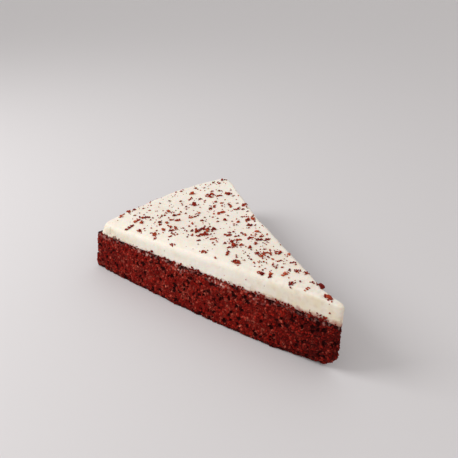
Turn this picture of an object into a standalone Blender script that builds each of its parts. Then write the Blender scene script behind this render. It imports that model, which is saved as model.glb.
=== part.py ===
"""A slice of red velvet cake: a wedge of red sponge, frosted white on top and strewn with red crumbs.

Metres, +Z up. The origin is under the middle of the slice, on the face that it rests on.
The tip points along +X. The rim, which was the round cake's outer edge, is at -X.
A wedge is easiest to say in polar terms about its sharp tip, so most shapes here are given by
a distance from that tip and a turn to either side of the middle line.
"""

import math
import random

import bmesh
import bpy
from mathutils import Matrix, Vector, noise
from mathutils.bvhtree import BVHTree

# The wedge, seen from above.
TIP = Vector((0.0718, -0.0003))  # the sharp tip, which puts the origin under the middle
HALF_ANGLE = math.radians(18.5)  # of the tip
FRONT_LENGTH = 0.1420  # of the front cut, from the sharp tip to the rim
BACK_LENGTH = 0.1435  # of the back cut
RIM_BULGE = 0.005  # how far the rim stands out from the chord between its corners
TIP_RADIUS = 0.0015  # of the rounded tip
CORNER_RADIUS = 0.0012  # of the corners at the rim
FRONT_BELLY = 0.0025  # how far the front cut swells at its foot
BACK_HOLLOW = 0.0050  # how far the back cut is hollowed
BACK_DENT = 0.0009  # and how much deeper it is at a dent
DENT_FROM_TIP = 0.080

# The red sponge.
SPONGE_HEIGHT = 0.0235  # at the origin
SPONGE_RISE = 0.018  # metres gained for each metre towards the tip
RIM_LEAN = (0.0048, 0.0012)  # the rim's top lies this far inside its foot, at its front and back
TIP_LEAN = -0.0008  # at the tip the foot stands out instead, above its worn part
TIP_UNDERCUT = 0.0086  # how far the tip's worn foot is drawn back
UNDERCUT_HEIGHT = 0.38  # share of the height that the worn foot takes
UNDERCUT_REACH = 0.036  # distance from the tip over which it fades
FOOT_ROUND = 0.0007  # the small round where the sides meet the plate
CRUMB_DEPTH = 0.0011  # relief of the torn crumb on the cut sides

# The white frosting.
LAYER_GAP = 0.0003  # clearance that keeps the two solids apart
FROSTING_TOP = 0.0354  # height of its top at the crest
CREST_X = 0.047  # where the crest lies
RIM_FALL = 0.0056  # how far the top falls over the first 100 mm from the crest to the rim
TIP_FALL = 0.0009  # how far it falls from the crest to the tip
FRONT_FALL = 0.0013  # how far it falls towards the front edge
SETBACK = (0.0006, 0.0004)  # its foot lies this far inside the sponge's rim
SHOULDER_LEAN = (0.0022, 0.0004)  # and its shoulder this much further in
EDGE_ROUND = (0.0030, 0.0018)  # round of its top edge on the front cut and on the back cut
RIM_ROUND = 0.0036  # the same at the rim
FROSTING_CORNER_RADIUS = 0.0042  # of its corners at the rim, seen from above
SPREAD_WAVE = 0.0004  # unevenness left by the spatula

# Meshing.
SPONGE_SEGMENTS = 200
SPONGE_RINGS = 13
FROSTING_SEGMENTS = 108
SHOULDER_STEPS = 3
TOP_SHARES = (0.10, 0.30, 0.55, 0.80)  # how far in towards the middle each ring of the top lies
WALL_SHARES = (0.0, 0.35, 0.70, 1.0)  # height of each ring of the side, up to the shoulder
MIDDLE = Vector((-0.020, -0.006))  # where the rings of the top close in

# The crumbs strewn on the frosting. The large ones and the heaps are set out by hand, in
# millimetres from the origin, and the rest are scattered.
SEED = 37
LARGE_CRUMBS_MM = (  # x, y, length, width, turn in degrees
    (-40, -34, 4.6, 1.7, 87), (-55, -31, 2.4, 1.2, 53), (-53, -32, 2.4, 1.1, 50),
    (-42.5, -23, 3.4, 1.2, 69), (-43, -27.5, 2.8, 1.2, 103), (-40, -27, 2.1, 1.2, 53),
    (-33, -20.5, 2.1, 1.6, 20), (-24.5, -28.5, 3.1, 1.2, 160), (-11.5, -26.5, 3.0, 1.3, 45),
    (-31.5, -15, 2.6, 1.3, 53), (-29, -12.5, 2.9, 1.0, 50), (-53, 12, 2.9, 2.2, 53),
    (-39, 4, 2.8, 2.5, 120), (-44, 11, 2.6, 1.0, 40), (-42, 16.5, 3.3, 1.4, 48),
    (-45.5, 20, 2.1, 1.6, 100), (-40, 21.5, 2.6, 1.7, 60), (-55.5, 32.5, 2.1, 1.5, 53),
    (-22, 9, 4.3, 1.5, 92), (-30, 8, 2.9, 1.1, 106), (-27.5, -6, 2.5, 1.2, 53),
    (-21, -9, 1.8, 1.4, 0), (-13, -8.5, 2.6, 1.8, 70), (-8, -11, 4.1, 2.3, 53),
    (-12.5, -12, 2.2, 1.8, 130), (-9.5, -4.5, 2.4, 1.8, 80), (-2, -11, 2.6, 1.2, 55),
    (-5, -16, 2.4, 1.0, 60), (3.5, -20, 2.9, 1.1, 30), (11.5, -18.5, 1.6, 1.4, 40),
    (-38.5, 26.5, 2.3, 1.8, 50), (-22, 25, 2.8, 1.2, 65), (-18, 20, 1.9, 1.3, 30),
    (-6, 14, 2.4, 1.4, 60), (-1, 11, 3.3, 1.3, 68), (0, -3, 3.8, 1.3, 38), (5.5, 3, 2.8, 1.5, 35),
    (6.5, 9.5, 2.6, 1.7, 40), (7, -2.5, 2.8, 1.4, 60), (9.5, -7, 2.6, 2.2, 90),
    (9.5, -9.5, 2.1, 1.1, 75), (13, 5, 2.8, 1.6, 55), (15, 8, 2.6, 1.4, 50),
    (13, -13, 3.1, 1.3, 118), (21, -14, 3.8, 2.1, 164), (19, -14.5, 2.4, 1.0, 20),
    (22, -3.5, 2.6, 1.8, 20), (24.5, -3, 2.9, 1.9, 70), (24.5, 0.5, 3.4, 1.1, 60),
    (28, 4, 2.4, 1.4, 55), (31, 6.5, 2.2, 1.3, 120), (32.5, -11, 2.8, 1.2, 30),
    (36.5, -8.5, 1.9, 1.4, 80), (40.5, -4.5, 4.0, 1.3, 92), (46.5, -6.5, 3.1, 1.2, 53),
    (46.5, -7, 2.9, 1.3, 150), (42.5, 0.5, 2.9, 1.4, 25), (53, -4.5, 2.6, 0.9, 82),
    (45.5, 2, 1.9, 1.3, 50), (55, 1, 3.8, 3.2, 90), (61.5, -1.5, 3.2, 2.6, 20),
    (51.5, 0, 2.2, 1.2, 10),
)
HEAPS_MM = (  # x, y, radius, number of crumbs
    (-38, -10, 5.0, 17), (-27, -28, 6.0, 16), (-33, -31, 2.6, 7), (-42, -25, 4.5, 8),
    (-10, -9, 5.5, 22), (8, -5, 5.0, 12), (12, 6, 5.5, 13), (23, -2, 4.2, 8),
    (28, 4, 2.8, 6), (-8, 16, 4.0, 9), (-20, 22, 4.0, 7), (-43, 18, 3.5, 6),
    (-32, 9, 4.5, 8), (-24, -17, 4.5, 8), (35, -9, 3.0, 5), (46, 1, 4.0, 7),
    (-18, -22, 5.0, 8),
)
SCATTERED = 560  # crumbs strewn over the whole top
BARE_STRIP = 0.0085  # along the front edge, hardly any fell
SMALLEST_SOLID_CRUMB = 0.0018  # shorter ones are left out of the solid

FRONT_NORMAL = Vector((math.sin(HALF_ANGLE), -math.cos(HALF_ANGLE)))
BACK_NORMAL = Vector((math.sin(HALF_ANGLE), math.cos(HALF_ANGLE)))


def ease(low, high, value):
    """0 below low, 1 above high, and a smooth step between them."""
    share = min(1.0, max(0.0, (value - low) / (high - low)))
    return share * share * (3 - 2 * share)


def from_tip(point):
    """(distance, turn) of a point, where the turn runs from -1 at the front cut to 1 at the back cut."""
    away = Vector(point[:2]) - TIP
    return away.length, math.atan2(away.y, -away.x) / HALF_ANGLE


def at_tip(distance, turn):
    angle = turn * HALF_ANGLE
    return TIP + distance * Vector((-math.cos(angle), math.sin(angle)))


def share_of_length(distance, turn):
    """distance as a share of the slice's length at that turn."""
    return distance / (FRONT_LENGTH + (BACK_LENGTH - FRONT_LENGTH) * (1 + turn) / 2)


def rounded(before, corner, after, radius):
    """Points of an arc that rounds a corner of an anticlockwise outline."""
    back = (before - corner).normalized()
    on = (after - corner).normalized()
    half = back.angle(on) / 2
    centre = corner + (back + on).normalized() * radius / math.sin(half)
    start = corner + back * radius / math.tan(half) - centre
    steps = 12
    turns = [(math.pi - 2 * half) * i / steps for i in range(steps + 1)]
    return [centre + Matrix.Rotation(turn, 2) @ start for turn in turns]


def rim_arc():
    """Points along the rim from its back corner to its front corner."""
    back, front = at_tip(BACK_LENGTH, 1), at_tip(FRONT_LENGTH, -1)
    along = (front - back).normalized()
    out = Vector((along.y, -along.x))
    half_chord = (front - back).length / 2
    radius = (half_chord**2 + RIM_BULGE**2) / (2 * RIM_BULGE)
    centre = (back + front) / 2 + out * (RIM_BULGE - radius)
    reach = math.asin(half_chord / radius)
    steps = 32
    turns = [reach * (2 * i / steps - 1) for i in range(steps + 1)]
    return [centre + radius * (out * math.cos(a) + along * math.sin(a)) for a in turns]


def crowding(point):
    """How much closer together the points of an outline lie: three times at the tip and corners."""
    distance, turn = from_tip(point)
    at_corner = share_of_length(distance, turn) > 0.97 and abs(turn) > 0.93
    return 3.0 if distance < 0.009 or at_corner else 1.0


def spaced(points, count, weight):
    """count points along the closed line through points, at steps that are equal where weight is."""
    closed = points + points[:1]
    lengths = [(b - a).length * weight((a + b) / 2) for a, b in zip(closed, closed[1:])]
    step = sum(lengths) / count
    found = []
    walked = 0.0
    for a, length, b in zip(closed, lengths, closed[1:]):
        while len(found) < count and len(found) * step <= walked + length:
            found.append(a.lerp(b, (len(found) * step - walked) / length))
        walked += length
    return found


def slice_outline(count, corner_radius):
    """The wedge's outline at the plate, anticlockwise from the tip."""
    arc = rim_arc()
    back, front = arc[0], arc[-1]
    tip = rounded(front, TIP, back, TIP_RADIUS)
    half = len(tip) // 2
    line = tip[half:]
    line += rounded(TIP, back, arc[3], corner_radius)
    line += arc[4:-4]
    line += rounded(arc[-4], front, TIP, corner_radius)
    line += tip[:half]
    fine = spaced(line, 8 * count, lambda _: 1.0)
    return spaced(fine, count, crowding)


def outward(points):
    """The outward normal at each point of a closed outline."""
    count = len(points)
    alongs = [points[(i + 1) % count] - points[i - 1] for i in range(count)]
    return [Vector((a.y, -a.x)).normalized() for a in alongs]


def back_hollow(distance):
    """How far the back cut lies inside its straight line, deepest at a third of its length."""
    share = min(1.0, share_of_length(distance, 1))
    curve = 2.26 * share**0.45 * (1 - share) ** 0.8 * ease(0.0, 0.014, distance)
    dent = math.exp(-(((distance - DENT_FROM_TIP) / 0.012) ** 2))
    return BACK_HOLLOW * curve + BACK_DENT * dent


def cut_side(point, height):
    """Swells the front cut at its foot and hollows the back cut. height runs from 0 to 1."""
    distance, turn = from_tip(point)
    swell = math.sin(math.pi * min(1.0, share_of_length(distance, turn)))
    belly = FRONT_BELLY * (1 - height) * swell * ease(0.5, 0.95, -turn)
    hollow = back_hollow(distance) * ease(0.0, 0.95, turn)
    return point + FRONT_NORMAL * belly - BACK_NORMAL * hollow


def leaned(point, lean):
    """Moves a point of the rim towards the tip, and leaves the cut sides on their lines.

    lean holds how far at the front corner and how far at the back corner.
    """
    distance, turn = from_tip(point)
    front, back = lean
    far = front + (back - front) * ease(-0.7, 0.5, turn)
    return at_tip(distance - far * ease(0.84, 0.98, share_of_length(distance, turn)), turn)


def worn_tip(point, height):
    """Draws the tip back, most of all at its foot."""
    distance, _ = from_tip(point)
    foot = max(0.0, 1 - height / UNDERCUT_HEIGHT) ** 2
    fade = max(0.0, 1 - distance / UNDERCUT_REACH) ** 1.2
    return point - Vector(((TIP_LEAN * (1 - height) + TIP_UNDERCUT * foot) * fade, 0.0))


def crumb_relief(point):
    """How far the torn crumb stands out or lies back at a point, between about -1 and 1."""
    cells = noise.voronoi(Vector(point) / 0.0042)[0]
    lumps = noise.noise(Vector(point) / 0.0030 + Vector((5.0, 0.0, 0.0)))
    return 1.1 * (cells[1] - cells[0]) - 0.5 + 0.8 * lumps


def interface(x):
    """Height of the plane where the sponge ends and the frosting starts."""
    return SPONGE_HEIGHT + SPONGE_RISE * x


def frosting_top(x, y):
    """Height of the frosting's top: lowest at the rim, highest near the tip, and a little wavy."""
    rim_fall = RIM_FALL * max(0.0, (CREST_X - x) / 0.1) ** 1.3
    tip_fall = TIP_FALL * max(0.0, (x - CREST_X) / (TIP.x - CREST_X)) ** 2
    distance, turn = from_tip((x, y))
    from_front = distance * math.sin((1 + turn) * HALF_ANGLE)
    front_fall = FRONT_FALL * max(0.0, 1 - from_front / 0.018) ** 2
    wave = noise.noise(Vector((x / 0.022, y / 0.012, 3.0)))
    return FROSTING_TOP - rim_fall - tip_fall - front_fall + SPREAD_WAVE * wave


def new_object(name, mesh_data, colour, roughness):
    """Puts a bmesh into the scene as a named object with a material of its own."""
    mesh = bpy.data.meshes.new(name)
    mesh_data.to_mesh(mesh)
    mesh_data.free()
    part = bpy.data.objects.new(name, mesh)
    material = bpy.data.materials.new(name)
    material.use_nodes = True
    shader = material.node_tree.nodes["Principled BSDF"]
    shader.inputs["Base Color"].default_value = (*colour, 1.0)
    shader.inputs["Roughness"].default_value = roughness
    shader.inputs["Metallic"].default_value = 0.0
    mesh.materials.append(material)
    return part


def stack_of_rings(count, rings, place):
    """A cylinder of count segments and that many rings, with each vertex moved to place(segment, ring)."""
    body = bmesh.new()
    bmesh.ops.create_cone(body, cap_ends=True, segments=count, radius1=1, radius2=1, depth=2)
    upright = [e for e in body.edges if abs(e.verts[0].co.z - e.verts[1].co.z) > 1]
    bmesh.ops.subdivide_edges(body, edges=upright, cuts=rings - 2, use_grid_fill=True)
    for vertex in body.verts:
        segment = round(math.atan2(vertex.co.y, vertex.co.x) / math.tau * count) % count
        ring = round((vertex.co.z + 1) / 2 * (rings - 1))
        vertex.co = place(segment, ring)
    return body


def sponge():
    """The red layer: flat below, sloped above, with torn crumb all round its sides."""
    outline = slice_outline(SPONGE_SEGMENTS, CORNER_RADIUS)
    normals = outward(outline)

    def place(segment, ring):
        height = ring / (SPONGE_RINGS - 1)
        lean = [far * height for far in RIM_LEAN]
        point = worn_tip(cut_side(leaned(outline[segment], lean), height), height)
        if ring == 0:
            point -= normals[segment] * FOOT_ROUND
        x, y = point
        crumb = crumb_relief((x, y, height * SPONGE_HEIGHT))
        x, y = point + normals[segment] * CRUMB_DEPTH * (crumb + 0.2) * 0.5
        return Vector((x, y, height * interface(x)))

    body = stack_of_rings(SPONGE_SEGMENTS, SPONGE_RINGS, place)
    return new_object("sponge", body, (0.17, 0.012, 0.008), 0.85)


def edge_round(point):
    """Radius of the frosting's top edge. It is largest at the rim, and small where the tip is narrow."""
    distance, turn = from_tip(point)
    front, back = EDGE_ROUND
    radius = front + (back - front) * ease(-0.6, 0.6, turn)
    radius += (RIM_ROUND - radius) * ease(0.88, 0.96, share_of_length(distance, turn))
    distance = max(distance, 0.006)
    width = 2 * distance * math.sin(HALF_ANGLE) - back_hollow(distance)
    return min(radius, 0.42 * width)


def inwards(point, normal):
    """Which way the frosting's shoulder rounds over: square to a cut side, elsewhere to the middle."""
    share = share_of_length(*from_tip(point))
    on_cut_side = ease(0.10, 0.30, share) * (1 - ease(0.80, 0.94, share))
    to_middle = (MIDDLE - point).normalized()
    return (to_middle * (1 - on_cut_side) - normal * on_cut_side).normalized()


def frosting_slab():
    """The white layer without its crumbs: a sheer side, a round shoulder and a wavy top."""
    outline = slice_outline(FROSTING_SEGMENTS, FROSTING_CORNER_RADIUS)
    walls = len(WALL_SHARES)
    shoulder_end = walls + SHOULDER_STEPS
    rings = shoulder_end + len(TOP_SHARES)

    def side(segment, share):
        lean = [a + b + c * share for a, b, c in zip(RIM_LEAN, SETBACK, SHOULDER_LEAN)]
        return cut_side(leaned(outline[segment], lean), 1)

    edges = [side(segment, 1) for segment in range(FROSTING_SEGMENTS)]
    normals = outward(edges)

    def place(segment, ring):
        edge = edges[segment]
        radius = edge_round(edge)
        start = frosting_top(*edge) - radius
        if ring < walls:
            x, y = side(segment, WALL_SHARES[ring])
            foot = interface(x) + LAYER_GAP
            return Vector((x, y, foot + (start - foot) * WALL_SHARES[ring]))
        quarter = min(1.0, (ring - walls + 1) / SHOULDER_STEPS) * math.pi / 2
        x, y = edge + inwards(edge, normals[segment]) * radius * (1 - math.cos(quarter))
        if ring < shoulder_end:
            return Vector((x, y, start + radius * math.sin(quarter)))
        x, y = Vector((x, y)).lerp(MIDDLE, TOP_SHARES[ring - shoulder_end])
        return Vector((x, y, frosting_top(x, y)))

    body = stack_of_rings(FROSTING_SEGMENTS, rings, place)
    return new_object("frosting", body, (0.80, 0.74, 0.64), 0.5)


def on_the_frosting(x, y, margin):
    """Whether a place is on the frosting's top, at least margin inside its edge."""
    distance, turn = from_tip((x, y))
    to_front = distance * math.sin((1 + turn) * HALF_ANGLE)
    to_back = distance * math.sin((1 - turn) * HALF_ANGLE) - back_hollow(distance)
    to_rim = (0.950 + 0.020 * turn) * FRONT_LENGTH - distance
    return distance > 0.008 and min(to_front, to_back, to_rim) > margin + 0.0006


def crumbs():
    """Every crumb on the frosting: x, y, length, width and turn, the large ones first."""
    draw = random.Random(SEED)
    mm = 0.001
    found = [(x * mm, y * mm, a * mm, b * mm, math.radians(t)) for x, y, a, b, t in LARGE_CRUMBS_MM]

    def small(x, y, shortest, longest):
        length = (shortest + (longest - shortest) * draw.random() ** 1.7) * mm
        width = length * draw.uniform(0.5, 0.95)
        turn = draw.uniform(0, math.pi)
        if on_the_frosting(x, y, length / 2):
            found.append((x, y, length, width, turn))

    for x, y, radius, number in HEAPS_MM:
        for _ in range(number):
            away = radius * draw.random() ** 0.7 * mm
            angle = draw.uniform(0, math.tau)
            small(x * mm + away * math.cos(angle), y * mm + away * math.sin(angle), 0.8, 2.1)
    for _ in range(SCATTERED):
        distance = BACK_LENGTH * math.sqrt(draw.random())
        turn = draw.uniform(-1, 1)
        x, y = at_tip(distance, turn)
        from_front = distance * math.sin((1 + turn) * HALF_ANGLE)
        if draw.random() < 0.06 + 0.94 * ease(0.6 * BARE_STRIP, 1.3 * BARE_STRIP, from_front):
            small(x, y, 0.6, 2.0)
    return found


def crumb_solid(x, y, length, width, turn, surface, draw):
    """One crumb as a small uneven lump, sunk a little into the frosting below it."""
    lump = bmesh.new()
    bmesh.ops.create_icosphere(lump, subdivisions=1, radius=0.5)
    for vertex in lump.verts:
        vertex.co *= draw.uniform(0.78, 1.22)
    height = 0.45 * width + 0.0004
    size = Matrix.Diagonal((length, width, height * 1.5, 1))
    below = surface.ray_cast(Vector((x, y, 1)), Vector((0, 0, -1)))[0]
    rest = Matrix.Translation((x, y, below.z + height * 0.12))
    bmesh.ops.transform(lump, matrix=rest @ Matrix.Rotation(turn, 4, "Z") @ size, verts=lump.verts)
    return lump


def strew_crumbs(slab):
    """Fuses the crumbs that are large enough to the frosting."""
    heap = bpy.data.collections.new("crumbs to fuse")
    bpy.context.scene.collection.children.link(heap)
    faces = [face.vertices for face in slab.data.polygons]
    surface = BVHTree.FromPolygons([vertex.co for vertex in slab.data.vertices], faces)
    draw = random.Random(SEED + 1)
    large_enough = [c for c in crumbs() if c[2] >= SMALLEST_SOLID_CRUMB]
    for number, crumb in enumerate(large_enough):
        solid = crumb_solid(*crumb, surface, draw)
        lump = new_object(f"crumb {number}", solid, (0.25, 0.03, 0.01), 0.8)
        heap.objects.link(lump)
    union = slab.modifiers.new("fuse crumbs", "BOOLEAN")
    union.operation = "UNION"
    union.operand_type = "COLLECTION"
    union.collection = heap
    union.solver = "MANIFOLD"
    graph = bpy.context.evaluated_depsgraph_get()
    fused = bpy.data.meshes.new_from_object(slab.evaluated_get(graph))
    slab.modifiers.clear()
    slab.data = fused
    for lump in list(heap.objects):
        bpy.data.objects.remove(lump)
    bpy.data.collections.remove(heap)


def build():
    for stray in list(bpy.data.objects):
        bpy.data.objects.remove(stray)
    cake = bpy.data.collections.new("red_velvet_cake_slice")
    bpy.context.scene.collection.children.link(cake)
    red = sponge()
    white = frosting_slab()
    cake.objects.link(red)
    cake.objects.link(white)
    strew_crumbs(white)


build()
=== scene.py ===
"""The looks of a slice of red velvet cake: torn red crumb, spread white frosting and strewn crumbs.

Metres, +Z up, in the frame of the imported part. The slice's tip points along +X and its rim, the
round cake's outer edge, is at -X. The shape is told in polar terms about the sharp tip: a
distance from it, and a turn to either side of the middle line, from -1 at the front cut to 1 at
the back cut.
"""

import math
import random

import bpy
import numpy as np
from mathutils import Matrix, Vector, noise
from mathutils.bvhtree import BVHTree


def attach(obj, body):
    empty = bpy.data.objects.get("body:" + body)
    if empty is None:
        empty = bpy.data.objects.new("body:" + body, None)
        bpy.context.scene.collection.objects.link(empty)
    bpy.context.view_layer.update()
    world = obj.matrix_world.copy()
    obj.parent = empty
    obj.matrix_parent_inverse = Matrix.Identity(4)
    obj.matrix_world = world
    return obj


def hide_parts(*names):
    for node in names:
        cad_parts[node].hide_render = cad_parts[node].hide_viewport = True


MM = 0.001

# The wedge, seen from above, as in the part.
TIP = Vector((0.0718, -0.0003))
HALF_ANGLE = math.radians(18.5)
FRONT_LENGTH = 0.1420
BACK_LENGTH = 0.1435
RIM_BULGE = 0.005
TIP_RADIUS = 0.0015
CORNER_RADIUS = 0.0012
FRONT_BELLY = 0.0025
BACK_HOLLOW = 0.0050
BACK_DENT = 0.0009
DENT_FROM_TIP = 0.080
DENT_REACH = 0.012

# The red sponge, as in the part.
SPONGE_HEIGHT = 0.0235
SPONGE_RISE = 0.018
RIM_LEAN = (0.0048, 0.0012)  # at the front corner and at the back corner
TIP_LEAN = -0.0008
TIP_UNDERCUT = 0.0086
UNDERCUT_HEIGHT = 0.38
UNDERCUT_REACH = 0.036
FOOT_ROUND = 0.0007
CRUMB_DEPTH = 0.0011
CRUMB_SIZES = (0.0042, 0.0030)  # of the coarse relief's cells and lumps

# The white frosting, as in the part.
FROSTING_TOP = 0.0354
CREST_X = 0.047
RIM_FALL = 0.0056
RIM_FALL_REACH = 0.1
TIP_FALL = 0.0009
FRONT_FALL = 0.0013
FRONT_FALL_REACH = 0.018
SETBACK = (0.0006, 0.0004)  # how far its rim lies inside the sponge's, at the same corners
SHOULDER_LEAN = (0.0022, 0.0004)
EDGE_ROUND = (0.0030, 0.0018)  # along the front cut and the back cut
RIM_ROUND = 0.0036
FROSTING_CORNER_RADIUS = 0.0042
SPREAD_WAVE = 0.0004
SPREAD_WAVE_LENGTHS = (0.022, 0.012)
MIDDLE = Vector((-0.020, -0.006))  # the frosting's top is meshed in rings about this place

# The crumbs strewn on the frosting, as in the part.
SEED = 37
LARGE_CRUMBS_MM = (  # x, y, length, width, turn in degrees
    (-40, -34, 4.6, 1.7, 87), (-55, -31, 2.4, 1.2, 53), (-53, -32, 2.4, 1.1, 50),
    (-42.5, -23, 3.4, 1.2, 69), (-43, -27.5, 2.8, 1.2, 103), (-40, -27, 2.1, 1.2, 53),
    (-33, -20.5, 2.1, 1.6, 20), (-24.5, -28.5, 3.1, 1.2, 160), (-11.5, -26.5, 3.0, 1.3, 45),
    (-31.5, -15, 2.6, 1.3, 53), (-29, -12.5, 2.9, 1.0, 50), (-53, 12, 2.9, 2.2, 53),
    (-39, 4, 2.8, 2.5, 120), (-44, 11, 2.6, 1.0, 40), (-42, 16.5, 3.3, 1.4, 48),
    (-45.5, 20, 2.1, 1.6, 100), (-40, 21.5, 2.6, 1.7, 60), (-55.5, 32.5, 2.1, 1.5, 53),
    (-22, 9, 4.3, 1.5, 92), (-30, 8, 2.9, 1.1, 106), (-27.5, -6, 2.5, 1.2, 53),
    (-21, -9, 1.8, 1.4, 0), (-13, -8.5, 2.6, 1.8, 70), (-8, -11, 4.1, 2.3, 53),
    (-12.5, -12, 2.2, 1.8, 130), (-9.5, -4.5, 2.4, 1.8, 80), (-2, -11, 2.6, 1.2, 55),
    (-5, -16, 2.4, 1.0, 60), (3.5, -20, 2.9, 1.1, 30), (11.5, -18.5, 1.6, 1.4, 40),
    (-38.5, 26.5, 2.3, 1.8, 50), (-22, 25, 2.8, 1.2, 65), (-18, 20, 1.9, 1.3, 30),
    (-6, 14, 2.4, 1.4, 60), (-1, 11, 3.3, 1.3, 68), (0, -3, 3.8, 1.3, 38), (5.5, 3, 2.8, 1.5, 35),
    (6.5, 9.5, 2.6, 1.7, 40), (7, -2.5, 2.8, 1.4, 60), (9.5, -7, 2.6, 2.2, 90),
    (9.5, -9.5, 2.1, 1.1, 75), (13, 5, 2.8, 1.6, 55), (15, 8, 2.6, 1.4, 50),
    (13, -13, 3.1, 1.3, 118), (21, -14, 3.8, 2.1, 164), (19, -14.5, 2.4, 1.0, 20),
    (22, -3.5, 2.6, 1.8, 20), (24.5, -3, 2.9, 1.9, 70), (24.5, 0.5, 3.4, 1.1, 60),
    (28, 4, 2.4, 1.4, 55), (31, 6.5, 2.2, 1.3, 120), (32.5, -11, 2.8, 1.2, 30),
    (36.5, -8.5, 1.9, 1.4, 80), (40.5, -4.5, 4.0, 1.3, 92), (46.5, -6.5, 3.1, 1.2, 53),
    (46.5, -7, 2.9, 1.3, 150), (42.5, 0.5, 2.9, 1.4, 25), (53, -4.5, 2.6, 0.9, 82),
    (45.5, 2, 1.9, 1.3, 50), (55, 1, 3.8, 3.2, 90), (61.5, -1.5, 3.2, 2.6, 20),
    (51.5, 0, 2.2, 1.2, 10),
)
HEAPS_MM = (  # x, y, radius, number of crumbs
    (-38, -10, 5.0, 17), (-27, -28, 6.0, 16), (-33, -31, 2.6, 7), (-42, -25, 4.5, 8),
    (-10, -9, 5.5, 22), (8, -5, 5.0, 12), (12, 6, 5.5, 13), (23, -2, 4.2, 8),
    (28, 4, 2.8, 6), (-8, 16, 4.0, 9), (-20, 22, 4.0, 7), (-43, 18, 3.5, 6),
    (-32, 9, 4.5, 8), (-24, -17, 4.5, 8), (35, -9, 3.0, 5), (46, 1, 4.0, 7),
    (-18, -22, 5.0, 8),
)
SCATTERED = 560
BARE_STRIP = 0.0085  # along the front cut, with few crumbs

# Only in the looks.
SPONGE_CELL = 0.00038  # size of the cells that the sponge's surface is meshed in
FROSTING_CELL = 0.00045
FOOT_SINK = 0.0006  # how far the frosting reaches down past the joint, so that no gap shows
HIDDEN_INSET = 0.0018  # a face further inside the wedge's edge than this doesn't show
BUBBLE_SPACING = 2.0 * MM
LUMP_SIZE = 1.5 * MM
GRAIN_SIZE = 0.8 * MM
ROUGH_SIZE = 0.9 * MM
SOLID_CRUMB = 1.8 * MM  # from this length on, a strewn crumb is in the part too
RAGGED_CRUMB = 1.3 * MM  # from this length on, it is made up of a core and flakes
PITS_MM = (  # the deepest bubbles on the front cut: distance from the tip, height, radius
    (56, 3.7, 1.2), (12, 18.7, 0.8), (18.8, 16.8, 0.9), (8.7, 12.5, 0.7), (106, 5.1, 0.9),
    (109, 13.6, 0.8), (85, 7.7, 0.7), (68, 12.3, 0.7), (37.5, 11.5, 0.8), (28, 17.1, 0.6),
)
SPECKS_MM = (  # crumbs on the frosting's front side: distance from the tip, height, length
    (57, 27.1, 0.6), (46, 29.3, 0.7), (8.7, 33.0, 0.6), (8.0, 29.1, 1.0), (9.0, 26.3, 1.2),
    (37, 29.8, 0.5), (91, 27.4, 0.5), (76, 25.2, 0.5),
)
FINE_HEAPS_MM = (  # of finer crumbs: x, y, radius, number of crumbs
    (28, -9, 5.0, 12), (33, -3, 4.0, 12), (20, 4, 4.0, 8), (37, 3, 2.5, 5), (-16, -16, 6.0, 9),
    (20, -10, 3.5, 10), (14, -6, 3.0, 5),
)
CLINGING = 1300  # places along the joint of the layers where a crumb may cling
DUST = 160  # places on the frosting for the finest crumbs
TONES = {12: 0.15, 59: 0.0, 60: 0.42}  # of large crumbs, by number: 0 is dark, 1 orange red
LARGE_LUMPS = range(6)  # numbers and seeds of the lumps that strewn crumbs are copied from
SMALL_LUMPS = range(6, 12)
DRAGGED_LUMPS = range(20, 28)  # seeds of the lumps for the dragged crumbs
FINE_FACETS, COARSE_FACETS = 2, 1

# The studio.
CAMERA_PLACE = Vector((0.157136, -0.12151, 0.14991))
CAMERA_HEADING = Vector((-0.797, 0.604))
CAMERA_PITCH = math.radians(29.92)  # downwards
LENS_MM = 38.5
SENSOR_MM = 36.0
KEY_LIGHT = (-0.50, 0.0, 0.42)  # to the camera's right of the slice, past it and above it
KEY_LIGHT_SIZE = 0.30
KEY_LIGHT_WATTS = 2.1
SKY_COLOUR = (1.0, 0.98, 0.97, 1.0)
SKY_STRENGTH = 0.72
FLOOR_SIZE = 12
FLOOR_COLOUR = (0.66, 0.64, 0.645, 1.0)

FRONT_NORMAL = Vector((math.sin(HALF_ANGLE), -math.cos(HALF_ANGLE)))
BACK_NORMAL = Vector((math.sin(HALF_ANGLE), math.cos(HALF_ANGLE)))


# ---------------------------------------------------------------- the wedge

def ease(low, high, value):
    """0 below low, 1 above high, and a smooth step between them."""
    share = min(1.0, max(0.0, (value - low) / (high - low)))
    return share * share * (3 - 2 * share)


def from_tip(point):
    """(distance, turn) of a point."""
    away = Vector(point[:2]) - TIP
    return away.length, math.atan2(away.y, -away.x) / HALF_ANGLE


def at_tip(distance, turn):
    """The point at that distance and turn."""
    angle = turn * HALF_ANGLE
    return TIP + distance * Vector((-math.cos(angle), math.sin(angle)))


def share_of_length(distance, turn):
    """distance as a share of the slice's length at that turn."""
    return distance / (FRONT_LENGTH + (BACK_LENGTH - FRONT_LENGTH) * (1 + turn) / 2)


def rounded(before, corner, after, radius):
    """Points of an arc that rounds a corner of an anticlockwise outline."""
    back = (before - corner).normalized()
    on = (after - corner).normalized()
    half = back.angle(on) / 2
    centre = corner + (back + on).normalized() * radius / math.sin(half)
    start = corner + back * radius / math.tan(half) - centre
    steps = 12
    turns = [(math.pi - 2 * half) * i / steps for i in range(steps + 1)]
    return [centre + Matrix.Rotation(turn, 2) @ start for turn in turns]


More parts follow.
